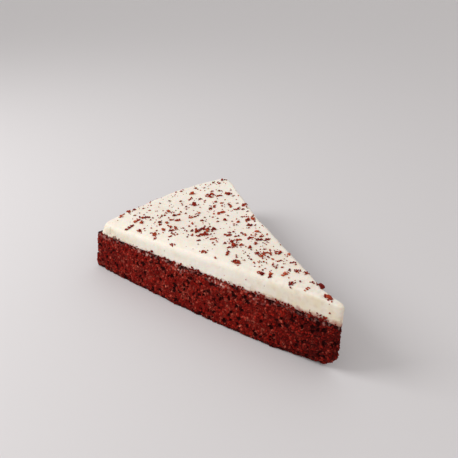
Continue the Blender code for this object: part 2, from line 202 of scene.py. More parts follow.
def rim_arc():
    """Points along the rim from its back corner to its front corner."""
    back, front = at_tip(BACK_LENGTH, 1), at_tip(FRONT_LENGTH, -1)
    along = (front - back).normalized()
    out = Vector((along.y, -along.x))
    half_chord = (front - back).length / 2
    radius = (half_chord**2 + RIM_BULGE**2) / (2 * RIM_BULGE)
    centre = (back + front) / 2 + out * (RIM_BULGE - radius)
    reach = math.asin(half_chord / radius)
    steps = 32
    turns = [reach * (2 * i / steps - 1) for i in range(steps + 1)]
    return [centre + radius * (out * math.cos(a) + along * math.sin(a)) for a in turns]


def crowding(point):
    """How densely an outline's points lie: three times as densely at the tip and corners."""
    distance, turn = from_tip(point)
    at_corner = share_of_length(distance, turn) > 0.97 and abs(turn) > 0.93
    return 3.0 if distance < 0.009 or at_corner else 1.0


def spaced(points, count, weight):
    """count points along the closed line through points, closer together where weight is more."""
    closed = points + points[:1]
    lengths = [(b - a).length * weight((a + b) / 2) for a, b in zip(closed, closed[1:])]
    step = sum(lengths) / count
    found = []
    walked = 0.0
    for a, length, b in zip(closed, lengths, closed[1:]):
        while len(found) < count and len(found) * step <= walked + length:
            found.append(a.lerp(b, (len(found) * step - walked) / length))
        walked += length
    return found


def slice_outline(count, corner_radius):
    """The wedge's outline at the plate, anticlockwise from the tip."""
    arc = rim_arc()
    back, front = arc[0], arc[-1]
    tip = rounded(front, TIP, back, TIP_RADIUS)
    half = len(tip) // 2
    back_corner = rounded(TIP, back, arc[3], corner_radius)
    front_corner = rounded(arc[-4], front, TIP, corner_radius)
    line = tip[half:] + back_corner + arc[4:-4] + front_corner + tip[:half]
    fine = spaced(line, 8 * count, lambda _: 1.0)
    return spaced(fine, count, crowding)


def outward(points):
    """The outward normal at each point of a closed outline."""
    count = len(points)
    alongs = [points[(i + 1) % count] - points[i - 1] for i in range(count)]
    return [Vector((a.y, -a.x)).normalized() for a in alongs]


def back_hollow(distance):
    """How far the back cut lies inside its straight line, deepest at a third of its length."""
    share = min(1.0, share_of_length(distance, 1))
    curve = 2.26 * share**0.45 * (1 - share) ** 0.8 * ease(0.0, 0.014, distance)  # 1 at most
    dent = math.exp(-(((distance - DENT_FROM_TIP) / DENT_REACH) ** 2))
    return BACK_HOLLOW * curve + BACK_DENT * dent


def from_front_cut(distance, turn):
    """How far a place lies from the front cut's straight line."""
    return distance * math.sin((1 + turn) * HALF_ANGLE)


def from_back_cut(distance, turn):
    """How far a place lies from the hollow back cut."""
    return distance * math.sin((1 - turn) * HALF_ANGLE) - back_hollow(distance)


def inside_by(point, margin):
    """Whether a point lies at least margin inside the wedge, seen from above."""
    distance, turn = from_tip(point)
    to_rim = 0.955 * FRONT_LENGTH - distance
    nearest = min(from_front_cut(distance, turn), from_back_cut(distance, turn), to_rim)
    return nearest > margin and abs(turn) < 1


def cut_side(point, height):
    """Swells the front cut at its foot and hollows the back cut. height runs from 0 to 1."""
    distance, turn = from_tip(point)
    swell = math.sin(math.pi * min(1.0, share_of_length(distance, turn)))
    belly = FRONT_BELLY * (1 - height) * swell * ease(0.5, 0.95, -turn)
    hollow = back_hollow(distance) * ease(0.0, 0.95, turn)
    return point + FRONT_NORMAL * belly - BACK_NORMAL * hollow


def leaned(point, lean):
    """Moves a point of the rim towards the tip, and leaves the cut sides on their lines."""
    distance, turn = from_tip(point)
    front, back = lean
    far = front + (back - front) * ease(-0.7, 0.5, turn)
    return at_tip(distance - far * ease(0.84, 0.98, share_of_length(distance, turn)), turn)


def worn_tip(point, height):
    """Draws the tip back, most of all at its foot."""
    distance, _ = from_tip(point)
    foot = max(0.0, 1 - height / UNDERCUT_HEIGHT) ** 2
    fade = max(0.0, 1 - distance / UNDERCUT_REACH) ** 1.2
    return point - Vector(((TIP_LEAN * (1 - height) + TIP_UNDERCUT * foot) * fade, 0.0))


def crumb_relief(point):
    """How far the coarse torn crumb stands out or lies back at a point, about -1 to 1."""
    cell_size, lump_size = CRUMB_SIZES
    cells = noise.voronoi(Vector(point) / cell_size)[0]
    lumps = noise.noise(Vector(point) / lump_size + Vector((5.0, 0.0, 0.0)))
    return 1.1 * (cells[1] - cells[0]) - 0.5 + 0.8 * lumps


def interface(x):
    """Height of the plane where the sponge ends and the frosting starts."""
    return SPONGE_HEIGHT + SPONGE_RISE * x


def frosting_top(x, y):
    """Height of the frosting's top: lowest at the rim, highest near the tip, and a little wavy."""
    rim_fall = RIM_FALL * max(0.0, (CREST_X - x) / RIM_FALL_REACH) ** 1.3
    tip_fall = TIP_FALL * max(0.0, (x - CREST_X) / (TIP.x - CREST_X)) ** 2
    to_front = from_front_cut(*from_tip((x, y)))
    front_fall = FRONT_FALL * max(0.0, 1 - to_front / FRONT_FALL_REACH) ** 2
    along, across = SPREAD_WAVE_LENGTHS
    wave = noise.noise(Vector((x / along, y / across, 3.0)))
    return FROSTING_TOP - rim_fall - tip_fall - front_fall + SPREAD_WAVE * wave


def edge_round(point):
    """Radius of the frosting's top edge."""
    distance, turn = from_tip(point)
    front, back = EDGE_ROUND
    radius = front + (back - front) * ease(-0.6, 0.6, turn)
    radius += (RIM_ROUND - radius) * ease(0.88, 0.96, share_of_length(distance, turn))
    distance = max(distance, 0.006)
    width = 2 * distance * math.sin(HALF_ANGLE) - back_hollow(distance)
    return min(radius, 0.42 * width)


def inwards(point, normal):
    """Which way the frosting's shoulder rounds over: square to a cut side, or to the middle."""
    share = share_of_length(*from_tip(point))
    on_cut_side = ease(0.10, 0.30, share) * (1 - ease(0.80, 0.94, share))
    to_middle = (MIDDLE - point).normalized()
    return (to_middle * (1 - on_cut_side) - normal * on_cut_side).normalized()


def on_the_frosting(x, y, margin):
    """Whether a place is on the frosting's top, at least margin inside its edge."""
    distance, turn = from_tip((x, y))
    to_rim = (0.950 + 0.020 * turn) * FRONT_LENGTH - distance
    nearest = min(from_front_cut(distance, turn), from_back_cut(distance, turn), to_rim)
    return distance > 0.008 and nearest > margin + 0.0006


# ---------------------------------------------------------------- modelling helpers

def only(piece):
    """Selects one object and nothing else."""
    bpy.ops.object.select_all(action="DESELECT")
    piece.select_set(True)
    bpy.context.view_layer.objects.active = piece


def apply_modifier(piece, kind, **settings):
    """Adds a modifier, sets it and applies it."""
    only(piece)
    modifier = piece.modifiers.new(kind.lower(), kind)
    for name, value in settings.items():
        setattr(modifier, name, value)
    bpy.ops.object.modifier_apply(modifier=modifier.name)


def coordinates(mesh):
    """The places of a mesh's vertices, one in each row."""
    found = np.empty(len(mesh.vertices) * 3, np.float32)
    mesh.vertices.foreach_get("co", found)
    return found.reshape(-1, 3)


def move_vertices(mesh, places):
    """Puts a mesh's vertices at new places, one in each row."""
    mesh.vertices.foreach_set("co", np.asarray(places, np.float32).ravel())
    mesh.update()


def paint(mesh, name, values):
    """Keeps one value for each vertex, which the piece's material reads by its name."""
    layer = mesh.attributes.new(name, "FLOAT", "POINT")
    layer.data.foreach_set("value", np.asarray(values, np.float32))


def stack_of_rings(name, count, rings, place):
    """A cylinder cut into rings, with each vertex moved to place(segment, ring)."""
    bpy.ops.object.select_all(action="DESELECT")
    bpy.ops.mesh.primitive_cylinder_add(vertices=count, radius=1, depth=2, end_fill_type="NGON")
    piece = bpy.context.object
    piece.name = piece.data.name = name
    bpy.ops.object.mode_set(mode="EDIT")
    bpy.ops.mesh.select_mode(type="EDGE")
    bpy.ops.mesh.select_all(action="DESELECT")
    bpy.ops.object.mode_set(mode="OBJECT")
    mesh = piece.data
    for edge in mesh.edges:
        low, high = (mesh.vertices[i].co.z for i in edge.vertices)
        edge.select = abs(high - low) > 1
    bpy.ops.object.mode_set(mode="EDIT")
    bpy.ops.mesh.subdivide(number_cuts=rings - 2)
    bpy.ops.object.mode_set(mode="OBJECT")
    places = []
    for x, y, z in coordinates(mesh):
        segment = round(math.atan2(y, x) / math.tau * count) % count
        places.append(place(segment, round((z + 1) / 2 * (rings - 1))))
    move_vertices(mesh, places)
    return piece


def close_meshed(piece, cell, smoothing):
    """Cuts the piece into even cells of that size, and smooths the steps between its rings."""
    apply_modifier(piece, "REMESH", mode="VOXEL", voxel_size=cell, use_smooth_shade=True)
    apply_modifier(piece, "SMOOTH", factor=0.5, iterations=smoothing)


def cap_hidden(piece, hidden):
    """Swaps the faces whose centre and normal hidden() accepts for one flat face a patch."""
    only(piece)
    bpy.ops.object.mode_set(mode="EDIT")
    bpy.ops.mesh.select_mode(type="FACE")
    bpy.ops.mesh.select_all(action="DESELECT")
    bpy.ops.object.mode_set(mode="OBJECT")
    for face in piece.data.polygons:
        face.select = hidden(face.center, face.normal)
    bpy.ops.object.mode_set(mode="EDIT")
    bpy.ops.mesh.delete(type="FACE")
    bpy.ops.mesh.select_all(action="SELECT")
    bpy.ops.mesh.fill_holes(sides=0)
    bpy.ops.object.mode_set(mode="OBJECT")


# ---------------------------------------------------------------- the sponge

def coarse_sponge():
    """The red layer at the part's own form: flat below, sloped above, with coarse torn sides."""
    segments, rings = 480, 31
    outline = slice_outline(segments, CORNER_RADIUS)
    normals = outward(outline)

    def place(segment, ring):
        height = ring / (rings - 1)
        lean = [far * height for far in RIM_LEAN]
        point = worn_tip(cut_side(leaned(outline[segment], lean), height), height)
        point -= normals[segment] * FOOT_ROUND * max(0.0, 1 - height * 12) ** 2
        x, y = point
        crumb = crumb_relief((x, y, height * SPONGE_HEIGHT))
        x, y = point + normals[segment] * CRUMB_DEPTH * (crumb + 0.2) * 0.5
        return Vector((x, y, height * interface(x)))

    return stack_of_rings("red_sponge", segments, rings, place)


def chance(point):
    """A number from 0 to 1 that is fixed for each place but looks drawn at random."""
    return math.sin(point.dot(Vector((1271.9, 3113.7, 747.3)))) * 43758.5453 % 1


def pit(point):
    """How deep a point lies in one of the large bubbles of the front cut, from 0 to 1."""
    if from_tip(point)[1] > -0.6:
        return 0.0
    uneven = point + noise.noise_vector(point / (1.1 * MM)) * 0.5 * MM
    distance, _ = from_tip(uneven)
    reach = [math.hypot(distance - d * MM, uneven.z - z * MM) / (r * MM) for d, z, r in PITS_MM]
    return math.sqrt(max(0.0, 1 - min(reach) ** 2))


def bubble(point, warp):
    """How deep a point lies in a bubble of the crumb, from 0 to 1, or a little more in a pit."""
    cells, hearts = noise.voronoi(point / BUBBLE_SPACING + warp)
    draw = chance(hearts[0])
    depth = max(0.0, 1 - (cells[0] / (0.72 * draw**2)) ** 2) if draw > 0.5 else 0.0
    return max(depth, 1.3 * pit(point))


def torn_out(distance, turn):
    """How much crumb was torn out along the joint of the layers, from 0 to 1."""
    most = 1 - 0.4 * ease(0.100, 0.118, distance)
    return most * ease(-0.1, 0.25, noise.noise(Vector((distance / 0.0045, turn * 3, 11.0))))


def torn_crumb(point):
    """(push, depth, shade) of the open crumb at a point of the sponge.

    push is how far the surface moves outwards in millimetres. depth runs from 0 on a crumb to 1
    at the bottom of a bubble, and darkens the colour as painted shade: in the bubbles, between
    the lumps and in the gaps under the frosting's edge, towards the tip where it stands in for
    the light's falloff, a little at the rim, and at the foot as a painted contact shadow. shade
    is the lightness of the crumb that the point is on.
    """
    warp = noise.noise_vector(point / ROUGH_SIZE) * 0.45
    hollow = bubble(point, warp)
    coarse, coarse_hearts = noise.voronoi(point / LUMP_SIZE + warp)
    fine, fine_hearts = noise.voronoi(point / GRAIN_SIZE + warp)
    lump = min(1.0, 1.35 * (coarse[1] - coarse[0]))
    grain = min(1.0, 2.0 * (fine[1] - fine[0]))
    rough = noise.fractal(point / ROUGH_SIZE, 0.8, 2.1, 3)
    distance, turn = from_tip(point)
    near_tip = 1 - ease(0.005, 0.050, distance)
    near_rim = ease(0.105, 0.135, distance)
    near_foot = 1 - ease(0.0, 0.003, point.z)
    shade = 0.6 * chance(coarse_hearts[0]) + 0.4 * chance(fine_hearts[0]) - 0.12 * near_tip
    below = (interface(point.x) - point.z) / MM
    gap = torn_out(distance, turn) * (1 - ease(0.8, 2.2, below + 0.9 * rough))
    push = 0.45 * lump + 0.18 * grain + 0.14 * rough + 0.12 * shade - 0.8 * hollow - 0.5 * gap
    # painted shade: light falloff towards the tip, a little darker at the rim, contact shadow at
    # the foot
    painted_shade_tip_rim_foot = 0.13 * near_tip + 0.04 * near_rim + 0.25 * near_foot
    # painted shade in the bubbles, between the lumps and in the gaps under the frosting's edge
    depth = 0.55 * (1 - lump) + 0.25 * (1 - grain) + 0.9 * hollow + 0.7 * gap + painted_shade_tip_rim_foot
    return push, min(1.0, depth), shade


def smear(point):
    """How much frosting the knife left on the sponge at a point near the joint, from 0 to 1."""
    below = (interface(point.x) - point.z) / MM
    distance, turn = from_tip(point)
    reach = 2.3 + 3.0 * noise.noise(Vector((distance / 0.011, turn * 3, 7.0)))
    band = 1 - ease(reach - 1.2, reach + 1.2, below)
    fleck = noise.noise(point / (1.3 * MM)) + 0.4 * noise.noise(point / (0.6 * MM))
    past_tip = ease(0.025, 0.060, distance)
    near_rim = ease(0.100, 0.115, distance)
    strength = (0.3 + 0.7 * past_tip) * (1 - 0.6 * near_rim)
    return band * strength * ease(0.10, 0.50, fleck)


def sponge():
    """The red layer: its torn sides stand out and lie back, and its top does so a little less."""
    piece = coarse_sponge()
    close_meshed(piece, SPONGE_CELL, 3)
    cap_hidden(piece, lambda at, way: abs(way.z) > 0.9 and inside_by(at, HIDDEN_INSET))
    mesh = piece.data
    places = coordinates(mesh)
    torn = np.array([torn_crumb(vertex.co) for vertex in mesh.vertices])
    normals = np.array([vertex.normal for vertex in mesh.vertices])
    on_side = 1 - np.clip((np.abs(normals[:, 2]) - 0.6) / 0.35, 0, 1)
    on_top = np.clip((normals[:, 2] - 0.6) / 0.35, 0, 1)
    push = (torn[:, 0] - np.average(torn[:, 0], weights=on_side)) * MM
    places += normals * (push * np.maximum(on_side, 0.6 * on_top))[:, None]
    places[:, 2] = np.maximum(places[:, 2], 0.0)
    move_vertices(mesh, places)
    # depth carries the painted shade
    paint(mesh, "depth", torn[:, 1])
    paint(mesh, "shade", torn[:, 2])
    paint(mesh, "smear", [smear(vertex.co) for vertex in mesh.vertices])
    mesh.materials.clear()
    mesh.materials.append(sponge_material())
    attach(piece, "root")
    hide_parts("sponge")
    return piece


# ---------------------------------------------------------------- the frosting

def coarse_frosting():
    """The white layer: a sheer side, a round shoulder and a top that the spatula left wavy."""
    segments, walls, shoulder, tops = 260, 7, 8, 30
    outline = slice_outline(segments, FROSTING_CORNER_RADIUS)

    def side(segment, share):
        lean = [a + b + c * share for a, b, c in zip(RIM_LEAN, SETBACK, SHOULDER_LEAN)]
        return cut_side(leaned(outline[segment], lean), 1)

    edges = [side(segment, 1) for segment in range(segments)]
    normals = outward(edges)

    def place(segment, ring):
        edge = edges[segment]
        radius = edge_round(edge)
        start = frosting_top(*edge) - radius
        if ring < walls:
            share = ring / (walls - 1)
            x, y = side(segment, share)
            foot = interface(x) - FOOT_SINK
            return Vector((x, y, foot + (start - foot) * share))
        quarter = min(1.0, (ring - walls + 1) / shoulder) * math.pi / 2
        x, y = edge + inwards(edge, normals[segment]) * radius * (1 - math.cos(quarter))
        if ring < walls + shoulder:
            return Vector((x, y, start + radius * math.sin(quarter)))
        share = (ring - walls - shoulder + 1) / (tops + 1)
        x, y = Vector((x, y)).lerp(MIDDLE, share)
        return Vector((x, y, frosting_top(x, y)))

    return stack_of_rings("white_frosting", segments, walls + shoulder + tops, place)


def creased(point, normal):
    """How deep a point lies in the creases at the rim's corners of the frosting, from 0 to 1."""
    distance, turn = from_tip(point)
    cells, _ = noise.voronoi(Vector((distance / 0.0024, turn * 20, point.z / 0.0050)))
    there = ease(0.112, 0.128, distance) * (1 - ease(0.5, 0.85, normal.z))
    there *= 0.12 + 0.88 * ease(0.88, 0.98, abs(turn))
    there *= ease(-0.35, 0.25, noise.noise(point / 0.0045))
    return there * (1 - ease(0.0, 0.30, cells[1] - cells[0]))


def spread_finish(point, normal):
    """How far the frosting stands out at a point: the knife's drag marks, dimples and holes."""
    distance, turn = from_tip(point)
    side = 1 - ease(0.5, 0.85, normal.z)
    along = Vector((distance / 0.0014, turn * 3.0, point.z / 0.012))
    marked = 0.35 + 0.65 * max(1 - ease(0.030, 0.060, distance), ease(0.110, 0.130, distance))
    drag = noise.noise(along) * side * marked
    swell = noise.noise(point / 0.007)
    dimple = noise.noise(point / 0.0022)
    holes, hearts = noise.voronoi(point / 0.0052)
    draw = chance(hearts[0])
    hole = max(0.0, 1 - (holes[0] / (0.05 + 0.07 * draw)) ** 2) if draw > 0.72 else 0.0
    crease = creased(point, normal)
    return (0.12 * drag + 0.16 * swell + 0.08 * dimple - 0.35 * hole - 0.42 * crease) * MM


def dusted(point, normal):
    """How much red the topping's finest dust gives the frosting's top at a point, from 0 to 1."""
    distance, turn = from_tip(point)
    past_strip = ease(BARE_STRIP, 2 * BARE_STRIP, from_front_cut(distance, turn))
    strewn_there = past_strip * ease(0.7, 0.95, normal.z)
    tint = 0.045 * (1 - 0.6 * ease(0.100, 0.130, distance)) + 0.03 * noise.noise(point / 0.006)
    return strewn_there * max(0.0, tint)


def stained(point):
    """How much red the knife dragged onto the frosting's side at a point, from 0 to 1."""
    distance, turn = from_tip(point)
    above = (point.z - interface(point.x)) / MM
    streak = noise.noise(Vector((distance / 0.0020, turn * 2, point.z / 0.0016)))
    streak += 0.6 * noise.noise(point / (0.7 * MM))
    near_tip = 1 - ease(0.040, 0.065, distance)
    reach = 0.2 + 0.9 * near_tip + 1.3 * streak
    soft = 0.9 + 0.5 * near_tip
    blotch = 0.10 * near_tip * ease(0.1, 0.5, noise.noise(point / (1.6 * MM)))
    return blotch + (0.40 + 0.5 * near_tip) * (1 - ease(reach - soft, reach + soft, above))


def cream_and_painted_light(point, normal):
    """(cream, pale) of the frosting, from 0 to 1.

    The cut side is yellower at its ends and in its creases. pale is painted light: the cut side
    is painted paler between its ends, and the top paler at the back.
    """
    distance, turn = from_tip(point)
    on_side = 1 - ease(0.20, 0.85, normal.z)
    near_tip = 1 - ease(0.015, 0.060, distance)
    near_rim = ease(0.100, 0.130, distance)
    cream = 0.55 * near_tip + 0.38 * near_rim + 0.6 * noise.noise(point / 0.0032)
    cream += 0.5 * creased(point, normal)
    # painted light: paler in the middle of the cut side
    pale = ease(0.025, 0.060, distance) * (1 - ease(0.090, 0.125, distance))
    # painted light: paler on the back of the top
    far_top = ease(0.85, 0.98, normal.z) * ease(0.030, 0.080, distance) * ease(-0.6, 0.7, turn)
    return on_side * min(1.0, max(0.0, cream)), max(on_side * pale, 0.8 * far_top)


def frosting():
    """The white layer, with the knife's marks on it, its tones painted and some painted light."""
    piece = coarse_frosting()
    close_meshed(piece, FROSTING_CELL, 4)
    cap_hidden(piece, lambda at, way: way.z < -0.9 and inside_by(at, HIDDEN_INSET))
    mesh = piece.data
    places = coordinates(mesh)
    for index, vertex in enumerate(mesh.vertices):
        push = spread_finish(vertex.co, vertex.normal)
        places[index] += np.array(vertex.normal) * push
    move_vertices(mesh, places)
    reds = [max(stained(vertex.co), dusted(vertex.co, vertex.normal)) for vertex in mesh.vertices]
    paint(mesh, "stain", reds)
    tones = np.array([cream_and_painted_light(vertex.co, vertex.normal) for vertex in mesh.vertices])
    paint(mesh, "cream", tones[:, 0])
    # pale carries painted light
    paint(mesh, "pale", tones[:, 1])
    mesh.materials.clear()
    mesh.materials.append(frosting_material())
    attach(piece, "root")
    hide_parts("frosting")
    return piece


# ---------------------------------------------------------------- the crumbs

def crumbs():
    """Every strewn crumb, by the part's rule: x, y, length, width and turn, large ones first."""
    draw = random.Random(SEED)
    found = [
        (x * MM, y * MM, length * MM, width * MM, math.radians(turn))
        for x, y, length, width, turn in LARGE_CRUMBS_MM
    ]

    def small(x, y, shortest, longest):
        length = (shortest + (longest - shortest) * draw.random() ** 1.7) * MM
        width = length * draw.uniform(0.5, 0.95)
        turn = draw.uniform(0, math.pi)
        if on_the_frosting(x, y, length / 2):
            found.append((x, y, length, width, turn))

    for x, y, radius, number in HEAPS_MM:
        for _ in range(number):
            away = radius * draw.random() ** 0.7 * MM
            angle = draw.uniform(0, math.tau)
            small(x * MM + away * math.cos(angle), y * MM + away * math.sin(angle), 0.8, 2.1)
    for _ in range(SCATTERED):
        distance = BACK_LENGTH * math.sqrt(draw.random())
        turn = draw.uniform(-1, 1)
        x, y = at_tip(distance, turn)
        past_strip = ease(0.6 * BARE_STRIP, 1.3 * BARE_STRIP, from_front_cut(distance, turn))
        if draw.random() < 0.06 + 0.94 * past_strip:
            small(x, y, 0.6, 2.0)
    return found


def torn_lump(seed, fineness):
    """(vertices, faces) of one crumb about a unit long: an uneven lump with two torn flats."""
    bpy.ops.object.select_all(action="DESELECT")
    bpy.ops.mesh.primitive_ico_sphere_add(subdivisions=fineness, radius=0.5)
    lump = bpy.context.object
    bpy.ops.object.mode_set(mode="EDIT")
    bpy.ops.mesh.select_all(action="SELECT")
    bpy.ops.transform.vertex_random(offset=0.10, uniform=0.3, normal=0.6, seed=seed)
    draw = random.Random(seed)
    for _ in range(2):
        way = Vector([draw.gauss(0, 1) for _ in range(3)]).normalized()
        bpy.ops.mesh.select_all(action="SELECT")
        bpy.ops.mesh.bisect(
            plane_co=way * draw.uniform(0.26, 0.40), plane_no=way, use_fill=True, clear_outer=True
        )
    bpy.ops.mesh.select_all(action="SELECT")
    bpy.ops.mesh.quads_convert_to_tris()
    bpy.ops.object.mode_set(mode="OBJECT")
    points = coordinates(lump.data).copy()
    faces = [tuple(face.vertices) for face in lump.data.polygons]
    bpy.data.objects.remove(lump)
    return points, faces


def strewn(name, lumps, places):
    """Joins copies of the lumps into one piece: places holds each one's matrix, lump and shade."""
    points, faces, shades = [], [], []
    start = 0
    for matrix, number, shade in places:
        lump, sides = lumps[number]
        turned = lump @ np.array(matrix.to_3x3()).T + np.array(matrix.translation)
        points.append(turned)
        faces += [[start + corner for corner in face] for face in sides]
        shades += [shade] * len(lump)
        start += len(lump)
    mesh = bpy.data.meshes.new(name)
    mesh.from_pydata(np.concatenate(points).tolist(), [], faces)
    mesh.update()
    paint(mesh, "shade", shades)
    mesh.materials.append(crumb_material())
    piece = bpy.data.objects.new(name, mesh)
    bpy.context.scene.collection.objects.link(piece)
    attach(piece, "root")
    return piece


def surface_of(piece):
    """A piece's surface, to find where a crumb lands on it."""
    mesh = piece.data
    return BVHTree.FromPolygons([v.co for v in mesh.vertices], [f.vertices for f in mesh.polygons])


def lying(place, normal, size, turn, draw):
    """The matrix that lays a crumb of that size (length, width, height) on a surface at a place."""
    lift = 0.30  # as a share of the crumb's height
    upright = normal.to_track_quat("Z", "X").to_matrix().to_4x4()
    roll = Matrix.Rotation(draw.gauss(0, 0.22), 4, "X")
    tilt = roll @ Matrix.Rotation(draw.gauss(0, 0.22), 4, "Y")
    rest = Matrix.Translation(place + normal * lift * size[2])
    return rest @ upright @ Matrix.Rotation(turn, 4, "Z") @ tilt @ Matrix.Diagonal((*size, 1))


def torn_up(x, y, length, width, turn, draw):
    """The bits of one crumb: a core and the flakes that hang on it, more of them on a large one."""
    if length < RAGGED_CRUMB:
        return [(x, y, length, width, turn)]
    plump = ease(0.65, 0.80, width / length)
    slim = 1 - 0.20 * (1 - plump) * ease(0.015, 0.030, x)
    core = min(width, max((0.62 + 0.28 * plump) * slim * width, 0.8 * MM))
    bits = [(x, y, (0.76 + 0.10 * plump) * slim * length, core, turn)]
    along = Vector((math.cos(turn), math.sin(turn)))
    across = Vector((-along.y, along.x))
    for _ in range(round(2.4 * length / MM)):
        angle = draw.uniform(0, math.tau)
        edge = along * length * math.cos(angle) + across * width * math.sin(angle)
        place = Vector((x, y)) + 0.44 * edge
        size = slim * draw.uniform(0.14, 0.32) * (length + 1.5 * MM)
        bits.append((*place, size, size * draw.uniform(0.4, 0.8), draw.uniform(0, math.pi)))
    return bits


def main_bits(draw):
    """The bits of the strewn crumbs: x, y, length, width, turn and shade of each."""
    for index, (x, y, length, width, turn) in enumerate(crumbs()):
        shade = TONES.get(index, draw.random())
        if length < SOLID_CRUMB:
            fineness = 0.94 - 0.22 * ease(0.005, 0.020, x)
            length, width = length * fineness, width * fineness
        for bit in torn_up(x, y, length, width, turn, draw):
            yield *bit, min(1.0, max(0.0, shade + draw.gauss(0, 0.12)))


def fine_bits(draw):
    """The same for the finer crumbs that lie in heaps."""
    for x, y, radius, number in FINE_HEAPS_MM:
        for _ in range(number):
            length = draw.uniform(0.5, 1.2) * MM
            away = radius * draw.random() ** 0.6
            angle = draw.uniform(0, math.tau)
            place = (x + away * math.cos(angle)) * MM, (y + away * math.sin(angle)) * MM
            width = length * draw.uniform(0.5, 1)
            yield *place, length, width, draw.uniform(0, math.pi), draw.random()


def dust_bits(draw):
    """The same for the finest crumbs, which lie all over the top."""
    for _ in range(DUST):
        x, y = at_tip(BACK_LENGTH * draw.random() ** 0.8, draw.uniform(-1, 1))
        kept = draw.random() < 0.25 or from_tip((x, y))[1] > -0.75
        if kept and on_the_frosting(x, y, 0.0):
            length = (draw.uniform(0.25, 0.6) + 0.25 * ease(0.0, 0.020, x)) * MM
            width = length * draw.uniform(0.5, 1)
            yield x, y, length, width, draw.uniform(0, math.pi), draw.uniform(0.4, 1)


def topping(surface):
    """The crumbs strewn on the frosting, with fine dust between them."""
    lumps = [torn_lump(seed, FINE_FACETS) for seed in LARGE_LUMPS]
    lumps += [torn_lump(seed, COARSE_FACETS) for seed in SMALL_LUMPS]
    draw = random.Random(SEED + 2)
    places = []

    def lay(x, y, length, width, turn, shade):
        at, normal, _, _ = surface.ray_cast(Vector((x, y, 1)), Vector((0, 0, -1)))
        if at:
            number = draw.choice(LARGE_LUMPS if length > RAGGED_CRUMB else SMALL_LUMPS)
            stout = ease(0.65, 0.80, width / length) * (1 - ease(0.0, 0.030, x))
            tall = 0.65 + 0.40 * stout if length > SOLID_CRUMB else 0.65
            size = (length, width, tall * width + 0.20 * MM)
            places.append((lying(at, normal, size, turn, draw), number, shade))

    for bits in main_bits(draw), fine_bits(draw), dust_bits(draw):
        for bit in bits:
            lay(*bit)
    return strewn("strewn_crumbs", lumps, places)


def clinging(draw):
    """The crumbs along the joint of the layers: distance, side, height, length, shade of each."""
    for _ in range(CLINGING):
        side = -1 if draw.random() < 0.5 else 1
        distance = draw.uniform(0.004, 0.137)
        patch = noise.noise(Vector((distance / 0.006, side * 3.0, 1.0)))
        amount = 0.25 + patch + 0.40 * (1 - ease(0.06, 0.11, distance))
        if draw.random() > amount * (1 - 0.8 * torn_out(distance, side)):
            continue
        near_tip = 1 - ease(0.035, 0.060, distance)
        reach = max(0.0, 0.8 * patch) + 0.9 * near_tip
        above = draw.gauss(-0.15, 0.5) + reach * draw.random() ** 2
        height = interface(at_tip(distance, side).x) + above * MM
        length = draw.uniform(0.4, 1.1) + 1.1 * draw.random() ** 4
        yield distance, side, height, length * MM, 0.4 * draw.random() ** 1.7


def dragged(surfaces):
    """The crumbs that the knife dragged along the joint of the layers, and specks higher up."""
    lumps = [torn_lump(seed, COARSE_FACETS) for seed in DRAGGED_LUMPS]
    draw = random.Random(SEED + 3)
    places = []
    well_clear = 0.02

    def stick(distance, side, height, length, shade):
        outside = at_tip(distance, side)
        way = Vector((*(at_tip(distance, 0.0) - outside), 0)).normalized()
        start = Vector((*outside, height)) - way * well_clear
        hits = [surface.ray_cast(start, way) for surface in surfaces]
        hits = [hit for hit in hits if hit[0]]
        if hits:
            at, normal, _, _ = min(hits, key=lambda hit: hit[3])
            size = (length, length * draw.uniform(0.5, 0.9), 0.45 * length)
            matrix = lying(at, normal, size, draw.gauss(0, 0.7), draw)
            places.append((matrix, draw.randrange(len(lumps)), shade))

    for crumb in clinging(draw):
        stick(*crumb)
    for distance, height, length in SPECKS_MM:
        stick(distance * MM, -1, height * MM, length * MM, 0.6)
    return strewn("dragged_crumbs", lumps, places)


# ---------------------------------------------------------------- materials

